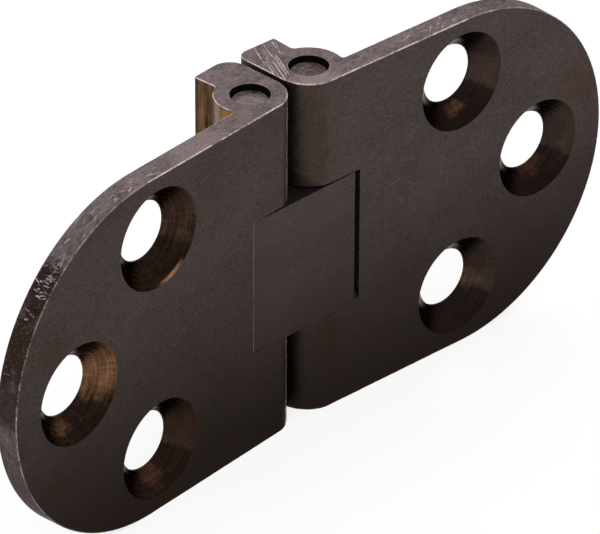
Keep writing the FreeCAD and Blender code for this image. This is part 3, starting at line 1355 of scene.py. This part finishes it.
    def _saw_grooves(self, dice: random.Random) -> list[Gouge]:
        """Makes slanting saw grooves over the end face of the right dog.

        Args:
            dice: The source of chance.

        Returns:
            The marks, which are shorter and further back beside the bore.
        """
        made = []
        aside = SAW_SLANT.cross(UP)
        for step in range(self.groove_count):
            shift = self.groove_spacing * step - 1.4
            beside_bore = shift > 0.05
            run = dice.uniform(6.7, 7.6) if beside_bore else dice.choice((3.6, 4.6, 6.4, 7.2))
            place = SAW_SLANT * run + aside * shift + UP * self.sizes.half_width
            length = dice.uniform(1.6, 3.0) if beside_bore else dice.uniform(3.0, 6.0)
            width, cut = dice.uniform(0.07, 0.15), dice.uniform(0.03, 0.06)
            # Two grooves in three are painted bright, partly bared metal and partly a painted highlight
            wear = dice.uniform(0.4, 1.0) if step % 3 else 0.0
            made.append(Gouge(place, SAW_SLANT, UP, length, width, cut, wear))
        return made

    def on_barrel(self, face: BMFace) -> bool:
        """Whether a face lies on the barrel's surface."""
        from_pin = (face.calc_center_median() - self.sizes.pin_centre).xy.length
        return abs(from_pin - self.sizes.barrel_radius) < ON_SURFACE

    def on_front_highlight(self, face: BMFace) -> bool:
        """Whether a face lies on the painted highlight strip of the left barrel's front."""
        in_strip = self.front_highlight_slopes[0] < face.normal.y < self.front_highlight_slopes[1] and face.normal.x < 0
        return self.side is Side.LEFT and in_strip and self.on_barrel(face)

    def zone_of(self, face: BMFace) -> Zone:
        """Tells which kind of surface a face belongs to.

        Args:
            face: The face, on the flat leaf.

        Returns:
            Its zone.
        """
        size = self.sizes
        middle, normal = face.calc_center_median(), face.normal
        from_pin = (middle - size.pin_centre).xy.length
        for mouth in self.screw_places:
            near = (middle - mouth).xz.length < size.sink_radius + SINK_SLACK
            if near and abs(normal.y) < FRONTAL:
                return Zone.SINK
        if from_pin < size.pin_radius + size.inner_break and abs(normal.z) < LEVEL:
            return Zone.SHADE
        in_notch = abs(middle.z - size.link_offset) < size.notch_height / 2 + size.inner_break
        if in_notch and from_pin < size.notch_radius + size.inner_break:
            return Zone.SEAT if normal.z > LEVEL else Zone.SHADE
        # The painted highlight strip on the left barrel takes the lighter rim finish
        if self.on_front_highlight(face) or self.in_outline_band(middle, self.rim_band):
            return Zone.RIM
        if middle.y > size.plate_thickness + ON_SURFACE and normal.x > 0.05:
            return Zone.STEP
        return Zone.FACE

    def mark_painted_highlights(self, mesh: BMesh) -> None:
        """Marks the painted highlights: bright strips on the barrel's front and back, and a glint arc in one
        sunk hole.

        Args:
            mesh: The flat left leaf.
        """
        mouth = self.screw_places[0]
        slope, half_width = self.back_highlight_slope
        for face in mesh.faces:
            # Painted highlights on the barrel, picked by the slope of its surface
            if self.on_front_highlight(face):
                mark_edges(mesh, [face], self.painted_highlight)
            elif self.on_barrel(face) and face.normal.x > 0.7:
                share = max(0.0, 1 - abs(face.normal.y - slope) / half_width)
                mark_edges(mesh, [face], self.back_highlight * share)
            # Painted glint: a bright arc at the foot of the upper hole's countersink
            spoke = face.calc_center_median() - mouth
            turn = math.degrees(math.atan2(spoke.z, spoke.x))
            off_glint = abs(turn - self.glint_middle) / self.glint_reach
            at_glint = self.glint_radius < spoke.xz.length < self.sizes.sink_radius
            if off_glint < 1 and at_glint and spoke.y > 0.01:
                mark_edges(mesh, [face], self.painted_highlight * (1 - off_glint))

    def place(self, mesh: BMesh) -> None:
        """Folds the flat leaf about its pin and sets it on its side of the hinge.

        Args:
            mesh: The flat leaf, made as a right-hand one.
        """
        turn = Matrix.Rotation(math.radians(-self.fold), 3, "Z")
        bmesh.ops.rotate(mesh, cent=self.sizes.pin_centre, matrix=turn, verts=mesh.verts[:])
        if self.side is Side.LEFT:
            bmesh.ops.scale(mesh, vec=(-1, 1, 1), verts=mesh.verts[:])
            bmesh.ops.reverse_faces(mesh, faces=mesh.faces[:])

    def build(self, materials: Sequence[Material]) -> Object:
        """Makes the whole leaf.

        Args:
            materials: One material for each zone, in the zones' order.

        Returns:
            The finished piece.
        """
        size = self.sizes
        cuts = [("INTERSECT", self.round_end_blank())]
        cuts += [("DIFFERENCE", cutter) for cutter in self.notch()]
        low = size.pin_centre - UP * (size.half_width + size.margin)
        cuts.append(("DIFFERENCE", post(low, size.pin_radius, size.blank_height, BORE_STEPS)))
        cuts += [("DIFFERENCE", self.screw_cutter(mouth)) for mouth in self.screw_places]
        mesh = carved(self.section(), cuts)
        break_edges(mesh, size.inner_break, self.is_inside)
        mark_edges(mesh, break_edges(mesh, size.inner_break, self.at_bore), self.bore_wear)
        outline = break_edges(mesh, size.outer_break, self.on_outside)
        # Wear along the outline, made brighter to stand in for the edges' highlight: wear and painted highlight
        mark_edges(mesh, outline, self.outline_wear_and_highlight)
        tip = [face for face in outline if face.calc_center_median().x > self.worn_reach]
        mark_edges(mesh, tip, self.tip_wear_and_highlight)
        if self.side is Side.LEFT:
            self.mark_painted_highlights(mesh)
        mesh = gouged(mesh, self.marks())
        for face in mesh.faces:
            face.material_index = self.zone_of(face)
        self.mark_turned(mesh)
        self.place(mesh)
        return finished(mesh, self.name + "_metal", materials)

    def mark_turned(self, mesh: BMesh) -> None:
        """Gives the sunk holes' faces their place from their own hole's axis.

        Args:
            mesh: The flat leaf, with its zones set.
        """
        layer = mesh.loops.layers.float_vector.new("turned")
        for face in mesh.faces:
            if face.material_index == Zone.SINK:
                middle = face.calc_center_median()
                mouth = min(self.screw_places, key=lambda place: (place - middle).length)
                for loop in face.loops:
                    spoke = loop.vert.co - mouth
                    loop[layer] = Vector((self.side.value * spoke.x, spoke.y, spoke.z))


def mark_edges(mesh: BMesh, faces: Iterable[BMFace], wear: float) -> None:
    """Marks worn faces, and faces with a painted highlight, in the mesh's edge attribute, which is made where
    it is missing.

    Args:
        mesh: The mesh.
        faces: The worn faces.
        wear: From 0 for none to 1 for bare; painted highlights use the same scale.
    """
    layer = mesh.loops.layers.float.get("edge") or mesh.loops.layers.float.new("edge")
    for face in faces:
        for loop in face.loops:
            loop[layer] = wear


@dataclass
class Link:
    """The middle link: a block with round ends about the two pins."""

    sizes: Sizes
    name: str = "link"
    end_band: float = 0.03

    def block(self) -> BMesh:
        """Draws the link's outline from above and raises it to its width.

        Returns:
            The link without its bores.
        """
        size = self.sizes
        lift = UP * (size.link_offset - size.link_width / 2 - size.link_sag)
        left_pin, right_pin = (size.pin_of(side) + lift for side in Side)
        radius = size.link_end_radius
        front_x = size.half_spacing + half_chord(radius, size.pin_depth)
        back_x = size.half_spacing + half_chord(radius, size.link_depth - size.pin_depth)
        end = RIGHTWARDS * radius
        steps = [
            (left_pin - end, left_pin),
            (Vector((-back_x, size.link_depth, lift.z)), left_pin),
            (Vector((back_x, size.link_depth, lift.z)), None),
            (right_pin + end, right_pin),
            (Vector((front_x, 0, lift.z)), right_pin),
        ]
        return Outline(Vector((-front_x, 0, lift.z))).follow(steps).raised(size.link_width)

    def zone_of(self, face: BMFace) -> LinkZone:
        """Tells which kind of surface a face belongs to.

        Args:
            face: The face of the link.

        Returns:
            Its zone.
        """
        size = self.sizes
        middle, lean = face.calc_center_median(), abs(face.normal.z)
        from_pin = min((middle - size.pin_of(side)).xy.length for side in Side)
        if from_pin < size.pin_radius + 2 * size.running_clearance and lean < LEVEL:
            return LinkZone.BORE
        if lean < 0.5 and abs(from_pin - size.link_end_radius) < self.end_band:
            return LinkZone.END
        return LinkZone.FACE

    def build(self, materials: Sequence[Material]) -> Object:
        """Makes the link.

        Args:
            materials: One material for each zone, in the zones' order.

        Returns:
            The finished piece.
        """
        size = self.sizes
        bore = size.pin_radius + size.running_clearance
        drop = UP * (size.half_width + size.margin)
        cutters = [post(size.pin_of(side) - drop, bore, 2 * drop.z, BORE_STEPS) for side in Side]
        mesh = carved(self.block(), [("DIFFERENCE", cutter) for cutter in cutters])
        break_edges(mesh, size.inner_break, lambda edge: True)
        for face in mesh.faces:
            face.material_index = self.zone_of(face)
        mark_edges(mesh, [], 0.0)
        return finished(mesh, self.name + "_block", materials)


@dataclass
class Pin:
    """A pin, sunk a little below the knuckles' ends, with a centre mark at each end."""

    side: Side
    sizes: Sizes
    seed: int
    rings: int = 12
    dimple_radius: float = 0.26
    dimple_depth: float = 0.12
    roughness: float = 0.06

    @property
    def name(self) -> str:
        """The pin's name, after its side."""
        return self.side.name.lower() + "_pin"

    def build(self, material: Material) -> Object:
        """Makes the pin.

        Args:
            material: The pin's material.

        Returns:
            The finished piece.
        """
        size = self.sizes
        half = size.half_width - size.pin_recess
        face_radius = size.pin_radius - size.pin_chamfer
        radii = [face_radius * step / self.rings for step in range(self.rings + 1)]
        top = [Vector((radius, 0, half)) for radius in radii]
        shank = [Vector((size.pin_radius, 0, half - size.pin_chamfer))]
        profile = top + shank
        profile += [Vector((point.x, 0, -point.z)) for point in reversed(profile)]
        mesh = turned(profile, Vector(), UP, PIN_STEPS)
        for vert in mesh.verts:
            self._roughen(vert, half, face_radius)
        bmesh.ops.translate(mesh, vec=size.pin_of(self.side), verts=mesh.verts[:])
        mark_edges(mesh, [], 0.0)
        return finished(mesh, self.name + "_rod", [material])

    def _roughen(self, vert: BMVert, half: float, face_radius: float) -> None:
        """Sinks a point of an end face by an uneven cut and by the centre mark.

        Args:
            vert: A point of the pin, which is left alone away from the end faces.
            half: Half the pin's length.
            face_radius: The end faces' radius.
        """
        away = vert.co.xy.length
        if abs(vert.co.z) < half - JOIN_DISTANCE or away > face_radius - JOIN_DISTANCE:
            return
        uneven = 0.5 + 0.5 * noise.noise(vert.co * 2.3 + Vector((self.seed, 0, 0)))
        mark = max(0.0, 1 - away / self.dimple_radius)
        sunk = self.roughness * uneven + self.dimple_depth * mark
        vert.co.z -= math.copysign(sunk, vert.co.z)


# The studio

@dataclass
class Studio:
    """Camera, floor and lights."""

    yaw: float = 44.639
    pitch: float = 32.019
    roll: float = 0.317
    target: Place = (0.347, -0.607, 445.95)
    focal_px: float = 5713.267
    image_width_px: float = 600
    sensor_mm: float = 36.0
    floor_level: float = -15.0
    floor_size: float = 3.0
    floor_grey: float = 0.42
    floor_glow: float = 0.78
    world_light: float = 0.55

    def camera(self) -> None:
        """Makes the camera at the picture's angle."""
        yaw, pitch, roll = (math.radians(angle) for angle in (self.yaw, self.pitch, self.roll))
        forward = Vector((
            math.sin(yaw) * math.cos(pitch), math.cos(yaw) * math.cos(pitch), -math.sin(pitch),
        ))
        right = Vector((math.cos(yaw), -math.sin(yaw), 0))
        rows = Matrix((right, forward.cross(right), forward))
        turn = Matrix.Rotation(roll, 3, "Z") @ rows
        place = -(turn.transposed() @ (Vector(self.target) * MM))
        basis = Matrix((turn[0], -turn[1], -turn[2])).transposed().to_4x4()
        data = bpy.data.cameras.new("camera")
        data.sensor_width = self.sensor_mm
        data.lens = self.focal_px / self.image_width_px * self.sensor_mm
        data.clip_start = 0.01
        camera = bpy.data.objects.new("camera", data)
        camera.matrix_world = Matrix.Translation(place) @ basis
        bpy.context.scene.collection.objects.link(camera)
        bpy.context.scene.camera = camera

    def lamp(self, name: str, place: Place, size: float, power: float) -> None:
        """Adds a square soft lamp that faces the hinge.

        Args:
            name: The lamp's name.
            place: Where it hangs, in metres.
            size: The length of its side, in metres.
            power: Its power in watts.
        """
        data = bpy.data.lights.new(name, "AREA")
        data.energy, data.size = power, size
        lamp = bpy.data.objects.new(name, data)
        lamp.location = place
        lamp.rotation_euler = (-Vector(place)).to_track_quat("-Z", "Y").to_euler()
        bpy.context.scene.collection.objects.link(lamp)

    def floor(self) -> None:
        """Lays a plain pale floor under the hinge, which keeps its shadow."""
        mesh = bmesh.new()
        bmesh.ops.create_grid(mesh, x_segments=1, y_segments=1, size=self.floor_size / 2)
        bmesh.ops.translate(mesh, vec=UP * self.floor_level * MM, verts=mesh.verts[:])
        floor = as_object(mesh, "floor")
        material = bpy.data.materials.new("pale_floor")
        graph = emptied(material)
        plain = graph.node("ShaderNodeBsdfDiffuse", {"Color": (*[self.floor_grey] * 3, 1)})
        glow = self._seen(graph, self.floor_glow)
        lift = graph.node("ShaderNodeEmission", {"Color": (1, 1, 1, 1), "Strength": glow})
        both = graph.node("ShaderNodeAddShader", {0: plain.outputs[0], 1: lift.outputs[0]})
        graph.node("ShaderNodeOutputMaterial", {"Surface": both.outputs[0]})
        floor.data.materials.append(material)

    @staticmethod
    def _seen(graph: Graph, strength: float, otherwise: float = 0.0) -> NodeSocket:
        """Makes a strength that is another one for the rays that carry light.

        Args:
            graph: The graph to add it to.
            strength: What camera, glossy and transmitted rays find.
            otherwise: What the other rays find.

        Returns:
            The strength's socket.
        """
        path = graph.node("ShaderNodeLightPath")
        seen = graph.math("MAXIMUM", path.outputs["Is Camera Ray"], path.outputs["Is Glossy Ray"])
        seen = graph.math("MAXIMUM", seen, path.outputs["Is Transmission Ray"])
        return graph.math("MULTIPLY_ADD", seen, strength - otherwise, otherwise)

    def world(self) -> None:
        """Lights the scene evenly from all round and shows white behind it."""
        world = bpy.data.worlds.new("studio")
        graph = emptied(world)
        shine = graph.node("ShaderNodeBackground", {
            "Color": (1, 1, 1, 1), "Strength": self._seen(graph, 1.0, self.world_light),
        })
        graph.node("ShaderNodeOutputWorld", {"Surface": shine.outputs[0]})
        bpy.context.scene.world = world

    def build(self) -> None:
        """Sets up the whole studio."""
        self.camera()
        self.floor()
        self.world()
        self.lamp("key_behind", (0.24, 0.27, 0.24), 0.16, 0.14)
        self.lamp("fill_left", (-0.34, -0.20, 0.25), 0.3, 0.30)
        bpy.context.scene.view_settings.view_transform = "Standard"


def settle(piece: Object, body: str, node: str) -> None:
    """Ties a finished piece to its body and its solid.

    Args:
        piece: The finished piece.
        body: The body that it moves with.
        node: The solid that it stands for.
    """
    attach(piece, body)
    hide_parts(node)
    LOG.info("%s rides on %s: %d faces", piece.name, body, len(piece.data.polygons))


def main() -> None:
    """Builds the hinge and its studio."""
    logging.basicConfig(level=logging.INFO, format="%(name)s: %(message)s")
    sizes, effects, finishes = Sizes(), Effects(), Finishes()
    face, rim, step, shade, seat, warm, dark, pin_end, link_face, link_end = (
        finish.material(effects) for finish in (
            finishes.face, finishes.rim, finishes.step, finishes.shade, finishes.seat,
            finishes.warm_sink, finishes.dark_sink, finishes.pin, finishes.link, finishes.link_end,
        )
    )
    leaves = (
        (Leaf(Side.LEFT, 32.9, 4.9, 1.6, sizes, seed=3), warm),
        (Leaf(Side.RIGHT, 32.5, 2.5, 1.0, sizes, seed=8), dark),
    )
    for leaf, sink in leaves:
        settle(leaf.build([face, rim, sink, step, shade, seat]), leaf.name, leaf.name)
        pin = Pin(leaf.side, sizes, leaf.seed)
        settle(pin.build(pin_end), leaf.name, pin.name)
    settle(Link(sizes).build([link_face, link_end, shade]), "link", "link")
    Studio().build()


if __name__ == "__main__":
    main()
